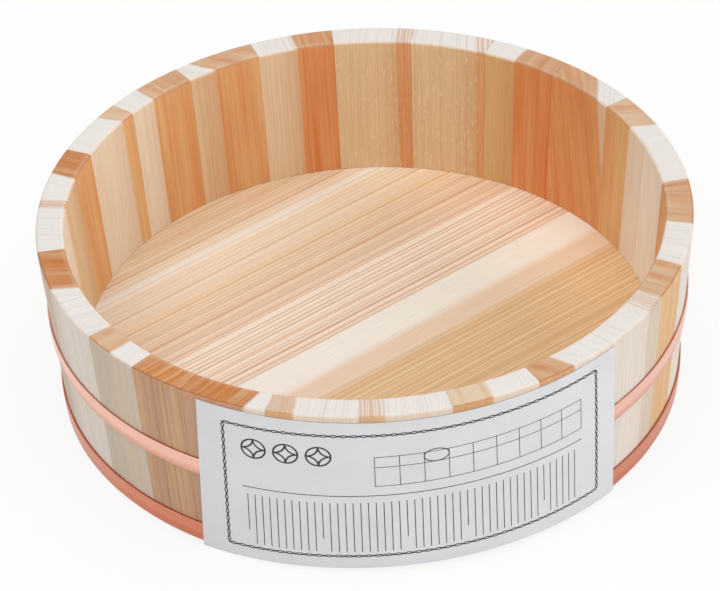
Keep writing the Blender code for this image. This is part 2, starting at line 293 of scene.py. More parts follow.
def loop_faces(rows, columns, closed):
    """Quads between each row of a grid and the next, where every row is a closed loop.

    An open stack of rows also gets a face over its first row and one over its last.
    """
    row = np.arange(rows if closed else rows - 1)[:, None] * columns
    row_after = (row + columns) % (rows * columns)
    column = np.arange(columns)[None, :]
    column_after = (column + 1) % columns
    corners = [row + column, row_after + column, row_after + column_after, row + column_after]
    faces = np.stack(corners, axis=-1).reshape(-1, 4).tolist()
    if not closed:
        faces.append(list(range(columns)))
        faces.append(list(range(rows * columns - 1, (rows - 1) * columns - 1, -1)))
    return faces


def add_piece(name, points, faces, sharp=35):
    """Smooth mesh piece, creased where faces meet at more than the sharp angle in degrees."""
    mesh = bpy.data.meshes.new(name)
    mesh.from_pydata(points.reshape(-1, 3).tolist(), [], faces)
    mesh.shade_smooth()
    mesh.set_sharp_from_angle(angle=math.radians(sharp))
    piece = bpy.data.objects.new(name, mesh)
    bpy.context.scene.collection.objects.link(piece)
    return piece


def give(piece, name, values):
    """Store a vector for each vertex, under a name that the material reads."""
    store = piece.data.attributes.new(name, "FLOAT_VECTOR", "POINT")
    store.data.foreach_set("vector", np.ascontiguousarray(values, dtype=np.float32).ravel())


def azimuth_span(node):
    """First and last azimuth of a CAD stave."""
    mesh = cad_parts[node].data
    points = np.empty(len(mesh.vertices) * 3)
    mesh.vertices.foreach_get("co", points)
    x, y = points.reshape(-1, 3)[:, :2].T
    middle = math.atan2(y.mean(), x.mean())
    offset = np.angle(np.exp(1j * (np.arctan2(y, x) - middle)))
    return middle + offset.min(), middle + offset.max()


def pith_of(side, outer, inner, start, end):
    """Centre of the growth rings, in plan at the rim.

    The edge of the heartwood is an arc round the pith. It passes through one point on the
    outer and one on the inner edge of the rim, and the pith lies on the heartwood's side.
    """
    edge = start if side > 0 else end
    radii = np.array([RIM_RADIUS, RIM_RADIUS - WALL])
    azimuths = edge + side * np.array([outer, inner]) * mm / radii
    ends = np.column_stack([radii * np.cos(azimuths), radii * np.sin(azimuths)])
    chord = ends[1] - ends[0]
    length = np.linalg.norm(chord)
    square = np.array([-chord[1], chord[0]]) / length
    towards = side * np.array([math.sin(edge), -math.cos(edge)])
    square *= np.sign(square @ towards)
    return ends.mean(axis=0) + square * math.sqrt(PITH_DISTANCE ** 2 - length ** 2 / 4)


def log_place(grid, pith, middle, slant, number):
    """Where each point lay in the log: depth in the heartwood, way round the ring, way along.

    Points are first slid along the stave, which leans, up to the rim. The depth is the pith's
    distance from the heartwood's edge less its distance from the point, plus the slant times
    the way down. Each stave is read a metre further along, so that no two are alike.
    """
    down = HEIGHT - grid[..., 2]
    outwards = np.array([math.cos(middle), math.sin(middle)])
    plan = grid[..., :2] + down[..., None] * math.tan(LEAN) * outwards - pith
    distance = np.linalg.norm(plan, axis=-1)
    bearing = np.arctan2(plan[..., 1], plan[..., 0]) - math.atan2(-pith[1], -pith[0])
    bearing = np.angle(np.exp(1j * bearing))
    depth = PITH_DISTANCE - distance + slant * down
    return np.stack([depth, bearing * distance, grid[..., 2] + number], axis=-1)


def ring_lines(tree, depth, along, width):
    """How late in its year's growth the wood is, and a number from 0 to 1 for each year.

    A slow noise, different for each stave, makes some years wider than others.
    """
    year = add(tree, "Math", {0: depth, 1: width}, operation="DIVIDE").outputs[0]
    timber = add(tree, "Math", {0: along}, operation="ROUND").outputs[0]
    place = add(tree, "CombineXYZ", {0: year, 1: timber})
    uneven = add(tree, "TexNoise", {"Vector": place.outputs[0], "Scale": 0.6, "Detail": 1.0},
                 noise_dimensions="2D")
    year = add(tree, "Math", {0: uneven.outputs["Fac"], 1: -2.2, 2: year},
               operation="MULTIPLY_ADD").outputs[0]
    whole = add(tree, "Math", {0: year}, operation="FLOOR").outputs[0]
    left = add(tree, "Math", {0: year, 1: whole}, operation="SUBTRACT").outputs[0]
    late = add(tree, "Math", {0: 1.0, 1: left}, operation="SUBTRACT").outputs[0]
    late = add(tree, "Math", {0: late, 1: 3.0}, operation="POWER").outputs[0]
    place = add(tree, "CombineXYZ", {0: whole, 1: timber})
    weight = add(tree, "TexWhiteNoise", {"Vector": place.outputs[0]}, noise_dimensions="2D")
    return late, weight.outputs["Value"]


def fibres(tree, log):
    """Fine streaks along the grain, which show as pores on the end grain."""
    drawn = add(tree, "VectorMath", {0: log, 1: (1, 1, 0.025)}, operation="MULTIPLY")
    streaks = add(tree, "TexNoise", {"Vector": drawn.outputs[0], "Scale": 1400.0, "Detail": 3.0,
                                     "Roughness": 0.65})
    return streaks.outputs["Fac"]


def wood_tones(tree, tone, line, codes):
    """Wood between two tones, whose growth lines are between two other tones."""
    wood, other_wood, ring, other_ring = map(linear, codes)
    wood = add(tree, "Mix", {0: tone, 6: wood, 7: other_wood}, data_type="RGBA").outputs[2]
    ring = add(tree, "Mix", {0: tone, 6: ring, 7: other_ring}, data_type="RGBA").outputs[2]
    return add(tree, "Mix", {0: line, 6: wood, 7: ring}, data_type="RGBA").outputs[2]


def planed_surface(tree, timber, log, darkest, line, roughness):
    """The planed wood's surface: darker along its fibres, and a little lower on its growth lines."""
    streak = fibres(tree, log)
    grain = add(tree, "MapRange", {"Value": streak, "From Min": 0.3, "From Max": 0.7,
                                   "To Min": darkest, "To Max": 1.05}).outputs["Result"]
    timber = add(tree, "VectorMath", {0: timber, 1: grain}, operation="MULTIPLY").outputs[0]
    relief = add(tree, "Math", {0: line, 1: -0.5, 2: streak}, operation="MULTIPLY_ADD").outputs[0]
    bump = add(tree, "Bump", {"Height": relief, "Strength": 0.3, "Distance": 0.05 * mm})
    shader = add(tree, "BsdfPrincipled", {"Base Color": timber, "Roughness": roughness,
                                          "Specular IOR Level": 0.35, "Normal": bump.outputs[0]})
    add(tree, "OutputMaterial", {"Surface": shader.outputs[0]})


def sawara_staves():
    """Planed sawara with the rings crossing the wall.

    The heartwood is orange and the sapwood pale tan on the planed faces. On the outside both are
    painted duller and greyer, as painted shade: that side is turned from the light and gets none of
    the warm light bounced inside the tub. On the end grain of the rim the sapwood is nearly white,
    and the late wood of each year is the lighter part of the heartwood. The rim's inner edge carries
    a painted highlight of paler peach. Where the rim bends, the heartwood shows a darker edge. The
    habit's last number is how grey the heartwood is outside, and inside how many rays show as flecks.
    """
    material, tree = new_material("sawara_staves")
    log = add(tree, "Attribute", attribute_name="log").outputs["Vector"]
    tone = add(tree, "Attribute", attribute_name="tone").outputs["Vector"]
    habit = add(tree, "Attribute", attribute_name="habit").outputs["Vector"]
    red, tan, lines = add(tree, "SeparateXYZ", {0: tone}).outputs
    width, striped, faded = add(tree, "SeparateXYZ", {0: habit}).outputs
    face = add(tree, "Attribute", attribute_name="face").outputs["Vector"]
    end, sheen_and_rubbing, outer = add(tree, "SeparateXYZ", {0: face}).outputs
    depth, _, along = add(tree, "SeparateXYZ", {0: log}).outputs
    drawn = add(tree, "VectorMath", {0: log, 1: (1, 1, 0.15)}, operation="MULTIPLY")
    waver = add(tree, "TexNoise", {"Vector": drawn.outputs[0], "Scale": 60.0, "Detail": 2.0})
    depth = add(tree, "Math", {0: waver.outputs["Fac"], 1: 1.6 * mm, 2: depth},
                operation="MULTIPLY_ADD").outputs[0]
    depth = add(tree, "Math", {0: depth, 1: 0.8 * mm}, operation="SUBTRACT").outputs[0]
    late, weight = ring_lines(tree, depth, along, width)
    line = add(tree, "Math", {0: late, 1: weight}, operation="MULTIPLY").outputs[0]
    line = add(tree, "Math", {0: line, 1: lines}, operation="MULTIPLY", use_clamp=True).outputs[0]
    broad = add(tree, "VectorMath", {0: log, 1: (1, 0.06, 0.05)}, operation="MULTIPLY")
    band = add(tree, "TexNoise", {"Vector": broad.outputs[0], "Scale": 240.0, "Detail": 1.0})
    band = add(tree, "MapRange", {"Value": band.outputs["Fac"], "From Min": 0.3, "From Max": 0.7,
                                  "To Min": -1.0, "To Max": 1.0}).outputs["Result"]
    swing = add(tree, "Math", {0: end, 1: 0.08, 2: 0.18}, operation="MULTIPLY_ADD").outputs[0]
    swing = add(tree, "Math", {0: outer, 1: -0.1, 2: swing}, operation="MULTIPLY_ADD").outputs[0]
    redder = add(tree, "Math", {0: band, 1: swing, 2: red}, operation="MULTIPLY_ADD",
                 use_clamp=True).outputs[0]
    heart = add(tree, "MapRange", {"Value": depth, "From Min": -1.2 * mm, "From Max": 0.6 * mm},
                interpolation_type="SMOOTHSTEP").outputs["Result"]
    near = add(tree, "MapRange", {"Value": depth, "From Min": -11 * mm, "From Max": 0.0},
               interpolation_type="SMOOTHSTEP").outputs["Result"]
    pulse = add(tree, "MapRange", {"Value": late, "From Min": 0.02, "From Max": 0.25},
                interpolation_type="SMOOTHSTEP").outputs["Result"]
    pulse = add(tree, "Math", {0: pulse, 1: 0.5, 2: 0.15}, operation="MULTIPLY_ADD").outputs[0]
    pulse = add(tree, "Mix", {0: end, 2: 0.7, 3: pulse}).outputs[0]
    broken = add(tree, "Mix", {0: striped, 2: 1.0, 3: pulse}).outputs[0]
    heart = add(tree, "Math", {0: heart, 1: broken}, operation="MULTIPLY").outputs[0]
    shade = add(tree, "Math", {0: tan, 1: 0.5, 2: 0.05}, operation="MULTIPLY_ADD").outputs[0]
    shade = add(tree, "Math", {0: near, 1: shade}, operation="MULTIPLY").outputs[0]
    side_heart = wood_tones(tree, redder, line, ("#edca90", "#da7e40", "#d0a063", "#bf6730"))
    side_sap = wood_tones(tree, tan, line, ("#f8eddc", "#dbb27a", "#e3caa8", "#c2965c"))
    side_sap = add(tree, "Mix", {0: shade, 6: side_sap, 7: linear("#cf9468")},
                   data_type="RGBA").outputs[2]
    side = add(tree, "Mix", {0: heart, 6: side_sap, 7: side_heart}, data_type="RGBA").outputs[2]
    # Outer faces get their own duller, greyer tones: painted shade for the side away from the light.
    shaded_outer_heart = add(tree, "ValToRGB", {"Fac": redder})
    shaded_outer_heart.color_ramp.elements.new(0.45)
    for stop, (place, code) in zip(shaded_outer_heart.color_ramp.elements,
                                   ((0.05, "#cdbdab"), (0.42, "#e5b984"), (0.8, "#c59a7d"))):
        stop.position = place
        stop.color = linear(code)
    darker = add(tree, "VectorMath", {0: shaded_outer_heart.outputs[0], 1: (0.76, 0.64, 0.54)},
                 operation="MULTIPLY")
    outer_heart = add(tree, "Mix", {0: line, 6: shaded_outer_heart.outputs[0], 7: darker.outputs[0]},
                      data_type="RGBA").outputs[2]
    outer_heart = add(tree, "Mix", {0: faded, 6: outer_heart, 7: linear("#dccdbf")},
                      data_type="RGBA").outputs[2]
    # The outer sapwood is painted greyer too, as painted shade.
    outer_sap = wood_tones(tree, tan, line, ("#e9ddd2", "#cfbeab", "#d0c2ae", "#b5a28a"))
    outer_sap = add(tree, "Mix", {0: shade, 6: outer_sap, 7: linear("#d9bf9f")},
                    data_type="RGBA").outputs[2]
    outside = add(tree, "Mix", {0: heart, 6: outer_sap, 7: outer_heart}, data_type="RGBA").outputs[2]
    side = add(tree, "Mix", {0: outer, 6: side, 7: outside}, data_type="RGBA").outputs[2]
    end_heart = wood_tones(tree, redder, line, ("#d9c1a3", "#b86a24", "#e3cdaa", "#d89f60"))
    end_sap = add(tree, "Mix", {0: line, 6: linear("#e2dcd7"), 7: linear("#c3b3a4")},
                  data_type="RGBA").outputs[2]
    end_grain = add(tree, "Mix", {0: heart, 6: end_sap, 7: end_heart}, data_type="RGBA").outputs[2]
    timber = add(tree, "Mix", {0: end, 6: side, 7: end_grain}, data_type="RGBA").outputs[2]
    bend = add(tree, "Math", {0: 1.0, 1: end}, operation="SUBTRACT").outputs[0]
    bend = add(tree, "Math", {0: bend, 1: end}, operation="MULTIPLY").outputs[0]
    bend = add(tree, "Math", {0: bend, 1: heart}, operation="MULTIPLY").outputs[0]
    bend = add(tree, "Math", {0: bend, 1: 4.0}, operation="MULTIPLY", use_clamp=True).outputs[0]
    darker = add(tree, "VectorMath", {0: timber, 1: (0.74, 0.52, 0.36)}, operation="MULTIPLY")
    timber = add(tree, "Mix", {0: bend, 6: timber, 7: darker.outputs[0]},
                 data_type="RGBA").outputs[2]
    # Painted highlight of paler peach along the rim's inner edge; on the front staves' outer top, the
    # rubbed band's colour.
    sheen_and_rubbing_share = add(tree, "Math", {0: sheen_and_rubbing, 1: 0.22}, operation="MULTIPLY").outputs[0]
    rubbed = add(tree, "Mix", {0: heart, 6: linear("#e4cbad"), 7: linear("#cf8c50")},
                 data_type="RGBA").outputs[2]
    rubbed = add(tree, "Mix", {0: outer, 6: linear("#ecd2b4"), 7: rubbed},
                 data_type="RGBA").outputs[2]
    timber = add(tree, "Mix", {0: sheen_and_rubbing_share, 6: timber, 7: rubbed}, data_type="RGBA").outputs[2]
    speck = add(tree, "VectorMath", {0: log, 1: (1, 1, 0.3)}, operation="MULTIPLY")
    speck = add(tree, "TexNoise", {"Vector": speck.outputs[0], "Scale": 900.0, "Detail": 1.0})
    speck = add(tree, "MapRange", {"Value": speck.outputs["Fac"], "From Min": 0.6,
                                   "From Max": 0.68, "To Max": 0.7}).outputs["Result"]
    rays = add(tree, "Math", {0: faded, 1: speck}, operation="MULTIPLY").outputs[0]
    bare = add(tree, "Math", {0: heart, 1: end}, operation="MAXIMUM").outputs[0]
    bare = add(tree, "Math", {0: bare, 1: outer}, operation="MAXIMUM").outputs[0]
    bare = add(tree, "Math", {0: 1.0, 1: bare}, operation="SUBTRACT").outputs[0]
    rays = add(tree, "Math", {0: rays, 1: bare}, operation="MULTIPLY").outputs[0]
    timber = add(tree, "Mix", {0: rays, 6: timber, 7: linear("#eed3a8")}, data_type="RGBA").outputs[2]
    pore = add(tree, "Math", {0: end, 1: 0.06, 2: 0.89}, operation="MULTIPLY_ADD").outputs[0]
    planed_surface(tree, timber, log, pore, line, 0.6)
    return material


staves_wood = sawara_staves()
outline = stave_outline()
widening = (CAD_JOINT / 2 - JOINT_GAP / 2) / RIM_RADIUS
arris = ARRIS / RIM_RADIUS
for number, timber in enumerate(STAVE_TIMBER, start=1):
    side, outer, inner, slant, red, rim, tan, lines, striped, ring, grey, rays = timber
    node = f"stave_{number:02d}"
    start, end = azimuth_span(node)
    middle = (start + end) / 2
    first, last = start - widening, end + widening
    azimuths = np.linspace(first + arris, last - arris, STAVE_COLUMNS)
    azimuths = np.concatenate([[first], azimuths, [last]])
    outlines = np.repeat(outline[None], len(azimuths), axis=0)
    outlines[0] = outlines[-1] = inset(outline, ARRIS)
    grid = turned(outlines, azimuths)
    stave = add_piece(f"sawara_{node}", grid, loop_faces(*grid.shape[:2], closed=False))
    pith = pith_of(side, outer, inner, start, end)
    log = log_place(grid, pith, middle, slant, number)
    face = stave_faces(outline, RUBBED.get(number, 0))
    endwise, _, outside = face.T
    plain = np.ones(len(outline))
    tone = np.column_stack([red + (rim - red) * endwise, tan * plain, lines * plain])
    habit = np.column_stack([ring * mm * plain, striped * plain, np.where(outside, grey, rays)])
    give(stave, "log", log)
    give(stave, "tone", np.broadcast_to(tone, grid.shape))
    give(stave, "habit", np.broadcast_to(habit, grid.shape))
    give(stave, "face", np.broadcast_to(face, grid.shape))
    stave.data.materials.append(staves_wood)
    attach(stave, "root")
    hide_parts(node)

# Bottom board
# Three quarter-sawn sawara planks, edge to edge, turned round and thinned at the edge to a tongue
# that sits in the staves' groove. Their growth lines run straight across the board. The front
# planks and the back one come from different logs, so the colour changes at the joint.

TONGUE_GAP = 0.2 * mm
BOARD_RADIUS = wall_radius(BOARD_TOP) - WALL + GROOVE_DEPTH - TONGUE_GAP
BOARD_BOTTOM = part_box("bottom_plank_2")[0][2]
TONGUE_ROOT = wall_radius(BOARD_TOP - BOARD_EDGE_THICKNESS) - WALL - TONGUE_GAP
TONGUE_BEVEL = 6 * mm
PLANK_JOINTS = (-64 * mm, 8 * mm)
GRAIN_AZIMUTH = math.radians(30.3)
PLANK_RING = 2.5 * mm

# Wood tones across the board, from front to back, in millimetres from the tub's axis. For the
# growth lines, three shares say how dark the late wood is, how pale the early wood, and how bright
# the fine line where a year begins.
TONE_REACH = 120
CREAM, STRAW, GOLDEN, PEACH, ROSE, AMBER, WHEAT = (
    "#eee8dc", "#ecdac0", "#d8b284", "#e5cbb1", "#debfa2", "#e1c3a1", "#e6caa5")
BOARD_TONES = (
    (-120, GOLDEN), (-24, GOLDEN), (-19, PEACH), (-12, PEACH), (-7, CREAM), (7.9, CREAM), (8.1, ROSE),
    (12, PEACH), (34, PEACH), (44, ROSE), (52, AMBER), (58, PEACH), (66, WHEAT), (73, STRAW),
    (85, STRAW), (90, CREAM), (95, STRAW), (99, AMBER), (106, WHEAT), (120, WHEAT),
)
BOARD_LINES = (
    (-120, 0.3, 0.1, 0.55), (-22, 0.2, 0.0, 0.55), (-18, 0.12, 0.05, 0.1), (-7, 0.05, 0.0, 0.0),
    (7.9, 0.02, 0.0, 0.0), (8.1, 0.8, 0.7, 0.0), (26, 0.9, 1.0, 0.0), (36, 0.9, 1.0, 0.0),
    (42, 0.7, 0.3, 0.2), (62, 0.7, 0.2, 0.5), (76, 0.6, 0.2, 0.5), (86, 0.4, 0.5, 0.2),
    (92, 0.6, 0.9, 0.0), (99, 0.9, 0.6, 0.2), (105, 0.5, 0.2, 0.6), (120, 0.5, 0.2, 0.6),
)


def plank_loop(radius, near, far, steps=60):
    """Outline of a plank at one level: where the disc of this radius lies between two joints."""
    low, high = (math.asin(np.clip(side / radius, -1, 1)) for side in (near, far))
    if near < -radius:
        turns = np.linspace(math.pi - high, 2 * math.pi + high, 2 * steps)
    elif far > radius:
        turns = np.linspace(low, math.pi - low, 2 * steps)
    else:
        turns = np.concatenate([np.linspace(low, high, steps),
                                np.linspace(math.pi - high, math.pi - low, steps)])
    return radius * np.column_stack([np.cos(turns), np.sin(turns)])


def plank_grid(near, far):
    """Plank outlines from the top down: eased arris, tongue, ledge, bevel and underside."""
    gap = JOINT_GAP / 2
    levels = ((BOARD_RADIUS - ARRIS, BOARD_TOP, gap + ARRIS), (BOARD_RADIUS, BOARD_TOP - ARRIS, gap),
              (BOARD_RADIUS, BOARD_TOP - BOARD_EDGE_THICKNESS, gap),
              (TONGUE_ROOT, BOARD_TOP - BOARD_EDGE_THICKNESS, gap),
              (TONGUE_ROOT - TONGUE_BEVEL, BOARD_BOTTOM, gap))
    grid = []
    for radius, z, aside in levels:
        plan = plank_loop(radius, near + aside, far - aside)
        x = plan[:, 0] * math.cos(GRAIN_AZIMUTH) - plan[:, 1] * math.sin(GRAIN_AZIMUTH)
        y = plan[:, 0] * math.sin(GRAIN_AZIMUTH) + plan[:, 1] * math.cos(GRAIN_AZIMUTH)
        grid.append(np.column_stack([x, y, np.full(len(x), z)]))
    return np.array(grid)


def sawara_board():
    """Quarter-sawn sawara planks: cream to orange bands with a darker line for each year.

    The mapping turns the object's coordinates so that Y runs across the grain. From left to
    right the planks turn a little more golden, and their right ends are painted paler, as painted
    light.
    """
    material, tree = new_material("sawara_board")
    place = add(tree, "TexCoord").outputs["Object"]
    log = add(tree, "Mapping", {"Vector": place, "Rotation": (0, 0, GRAIN_AZIMUTH)},
              vector_type="TEXTURE").outputs[0]
    along, across, _ = add(tree, "SeparateXYZ", {0: log}).outputs
    drawn = add(tree, "VectorMath", {0: log, 1: (0.18, 1, 1)}, operation="MULTIPLY")
    waver = add(tree, "TexNoise", {"Vector": drawn.outputs[0], "Scale": 26.0, "Detail": 2.0})
    across = add(tree, "Math", {0: waver.outputs["Fac"], 1: 3.0 * mm, 2: across},
                 operation="MULTIPLY_ADD").outputs[0]
    across = add(tree, "Math", {0: across, 1: 1.5 * mm}, operation="SUBTRACT").outputs[0]
    late, weight = ring_lines(tree, across, 0.0, PLANK_RING)
    spot = add(tree, "MapRange", {"Value": across, "From Min": -TONE_REACH * mm,
                                  "From Max": TONE_REACH * mm})
    tones = add(tree, "ValToRGB", {"Fac": spot.outputs["Result"]})
    shown = add(tree, "ValToRGB", {"Fac": spot.outputs["Result"]})
    for node, stops in ((tones, BOARD_TONES), (shown, BOARD_LINES)):
        for _ in stops[2:]:
            node.color_ramp.elements.new(0.5)
        for element, (millimetres, *value) in zip(node.color_ramp.elements, stops):
            element.position = (millimetres + TONE_REACH) / (2 * TONE_REACH)
            element.color = (*value, 1) if len(value) == 3 else linear(*value)
    timber = tones.outputs[0]
    dark, pale, bright = add(tree, "SeparateColor", {0: shown.outputs[0]}).outputs
    weight = add(tree, "Math", {0: weight, 1: 0.55, 2: 0.45}, operation="MULTIPLY_ADD").outputs[0]
    line = add(tree, "Math", {0: late, 1: weight}, operation="MULTIPLY").outputs[0]
    line = add(tree, "Math", {0: line, 1: dark}, operation="MULTIPLY").outputs[0]
    early = add(tree, "Math", {0: 1.0, 1: late}, operation="SUBTRACT").outputs[0]
    start = add(tree, "Math", {0: early, 1: 24.0}, operation="POWER").outputs[0]
    start = add(tree, "Math", {0: start, 1: weight}, operation="MULTIPLY").outputs[0]
    start = add(tree, "Math", {0: start, 1: bright}, operation="MULTIPLY").outputs[0]
    early = add(tree, "Math", {0: early, 1: 4.0}, operation="POWER").outputs[0]
    early = add(tree, "Math", {0: early, 1: pale}, operation="MULTIPLY").outputs[0]
    early = add(tree, "Math", {0: early, 1: 0.6}, operation="MULTIPLY").outputs[0]
    darker = add(tree, "VectorMath", {0: timber, 1: (0.72, 0.50, 0.36)}, operation="MULTIPLY")
    timber = add(tree, "Mix", {0: early, 6: timber, 7: linear("#fbf3e6")},
                 data_type="RGBA").outputs[2]
    timber = add(tree, "Mix", {0: start, 6: timber, 7: linear("#f8e3c4")},
                 data_type="RGBA").outputs[2]
    timber = add(tree, "Mix", {0: line, 6: timber, 7: darker.outputs[0]},
                 data_type="RGBA").outputs[2]
    # Painted light: the planks' right ends are made paler, as if lit more.
    paler = add(tree, "MapRange", {"Value": along, "From Min": 45 * mm, "From Max": 105 * mm,
                                   "To Min": 0.95, "To Max": 1.12},
                interpolation_type="SMOOTHSTEP").outputs["Result"]
    timber = add(tree, "VectorMath", {0: timber, 1: paler}, operation="MULTIPLY").outputs[0]
    golden = add(tree, "MapRange", {"Value": along, "From Min": -70 * mm, "From Max": 80 * mm})
    tint = add(tree, "Mix", {0: golden.outputs["Result"], 6: (1.03, 1.04, 1.07, 1.0),
                             7: (0.98, 0.96, 0.93, 1.0)}, data_type="RGBA").outputs[2]
    timber = add(tree, "VectorMath", {0: timber, 1: tint}, operation="MULTIPLY").outputs[0]
    swapped = add(tree, "CombineXYZ", {0: across, 2: along})
    planed_surface(tree, timber, swapped.outputs[0], 0.94, line, 0.58)
    return material


board_wood = sawara_board()
joints = (-2 * BOARD_RADIUS, *PLANK_JOINTS, 2 * BOARD_RADIUS)
for number, (near, far) in enumerate(zip(joints, joints[1:]), start=1):
    grid = plank_grid(near, far)
    plank = add_piece(f"sawara_plank_{number}", grid, loop_faces(*grid.shape[:2], closed=False))
    plank.data.materials.append(board_wood)
    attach(plank, "root")
    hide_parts(f"bottom_plank_{number}")

# Bamboo pegs
# Short round pegs split from bamboo, glued across the joints between staves and between planks.
# They are hidden inside the wood. Bamboo is straw yellow with long brown bundles of fibre.


def bamboo():
    """Split bamboo; every peg lies level, so the fibres are drawn out in plan."""
    material, tree = new_material("bamboo")
    place = add(tree, "TexCoord").outputs["Object"]
    drawn = add(tree, "VectorMath", {0: place, 1: (0.12, 0.12, 1)}, operation="MULTIPLY")
    bundles = add(tree, "TexNoise", {"Vector": drawn.outputs[0], "Scale": 3200.0, "Detail": 2.0})
    brown = add(tree, "MapRange", {"Value": bundles.outputs["Fac"], "From Min": 0.5,
                                   "From Max": 0.68, "To Max": 0.6}).outputs["Result"]
    colour = add(tree, "Mix", {0: brown, 6: linear("#dcc58c"), 7: linear("#9c7240")},
                 data_type="RGBA").outputs[2]
    bump = add(tree, "Bump", {"Height": bundles.outputs["Fac"], "Strength": 0.3,
                              "Distance": 0.04 * mm})
    shader = add(tree, "BsdfPrincipled", {"Base Color": colour, "Roughness": 0.45,
                                          "Normal": bump.outputs[0]})
    add(tree, "OutputMaterial", {"Surface": shader.outputs[0]})
    return material


peg_wood = bamboo()
for node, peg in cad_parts.items():
    if "_peg_" in node:
        peg.data.materials.clear()
        peg.data.materials.append(peg_wood)

# Copper hoops
# Two flat bands of sheet copper, driven on from the foot over the taper of the wall. Their ends
# are lapped and soldered at the back. They are finely brushed along their length, a little uneven
# from the hammer, and just starting to tone brown in patches. Browner copper low down is painted
# dim reflection, and the dark upper edge is tarnish on the cut edge with painted shadow.

# Name, lower edge and width of each band.
HOOPS = (("upper_hoop", 39.7 * mm, 8.4 * mm), ("lower_hoop", 2.4 * mm, 9.2 * mm))
HOOP_THICKNESS = 0.8 * mm
HOOP_ROUNDING = 0.35 * mm
HOOP_SEAT = 0.1 * mm
LAP_AZIMUTH = math.radians(90)
LAP_LENGTH = 16 * mm
LAP_RISE = 10 * mm
LAP_STEP = 0.4 * mm
HOOP_CROWN = 0.15 * mm
HAMMER_WAVE, HAMMER_BEAT = 0.035 * mm, 0.02 * mm
HOOP_COLUMNS = 420


def hoop_grid(bottom, height):
    """Sections of a band round the tub, and the same grid laid flat for its brushing.

    The outer face follows the leaning wall and is crowned by a parabola. It stands out by the
    lap, which starts at its cut edge and dies away, and wavers by a few hundredths of a
    millimetre. The flat grid gives the way along, the height, and the share of the band's width
    from its lower edge, with 2 on the cut upper edge.
    """
    turn = LAP_STEP / RIM_RADIUS
    round_lap = np.array([0, turn, 2 * turn])
    azimuths = np.concatenate([round_lap, np.linspace(3 * turn, 2 * math.pi, HOOP_COLUMNS)[:-1]])
    length = azimuths * wall_radius(bottom)
    lap = HOOP_THICKNESS * np.interp(length, (0, LAP_STEP, LAP_LENGTH, LAP_LENGTH + LAP_RISE),
                                     (0, 1, 1, 0))
    seat = HOOP_SEAT
    outer = seat + HOOP_THICKNESS - HOOP_ROUNDING
    low = rounding((outer, HOOP_ROUNDING), HOOP_ROUNDING, -90, 0, 4)
    high = rounding((outer, height - HOOP_ROUNDING), HOOP_ROUNDING, 0, 90, 4)
    face = np.column_stack([np.full(5, outer + HOOP_ROUNDING),
                            np.linspace(HOOP_ROUNDING, height - HOOP_ROUNDING, 7)[1:-1]])
    section = np.vstack([[(seat, 0)], low, face, high, [(seat, height)]])
    outline = np.repeat(section[None], len(azimuths), axis=0)
    raised = outline[..., 0] > seat + HOOP_ROUNDING
    across = outline[..., 1] / height
    across[(outline[..., 0] < outer + HOOP_ROUNDING / 2) & (across > 0.5)] = 2
    crown = HOOP_CROWN * (1 - (2 * outline[..., 1] / height - 1) ** 2)
    wave = HAMMER_WAVE * np.sin(9 * azimuths + 1) * np.sin(23 * azimuths)
    beat = HAMMER_BEAT * np.sin(41 * azimuths[:, None] + outline[..., 1] / (2.2 * mm))
    outline[..., 0] += np.where(raised, (lap + wave)[:, None] + beat + crown, 0)
    outline[..., 1] += bottom
    outline[..., 0] += wall_radius(outline[..., 1])
    flat = np.stack([np.broadcast_to(length[:, None], outline.shape[:2]), outline[..., 1], across],
                    axis=-1)
    return turned(outline, azimuths + LAP_AZIMUTH), flat


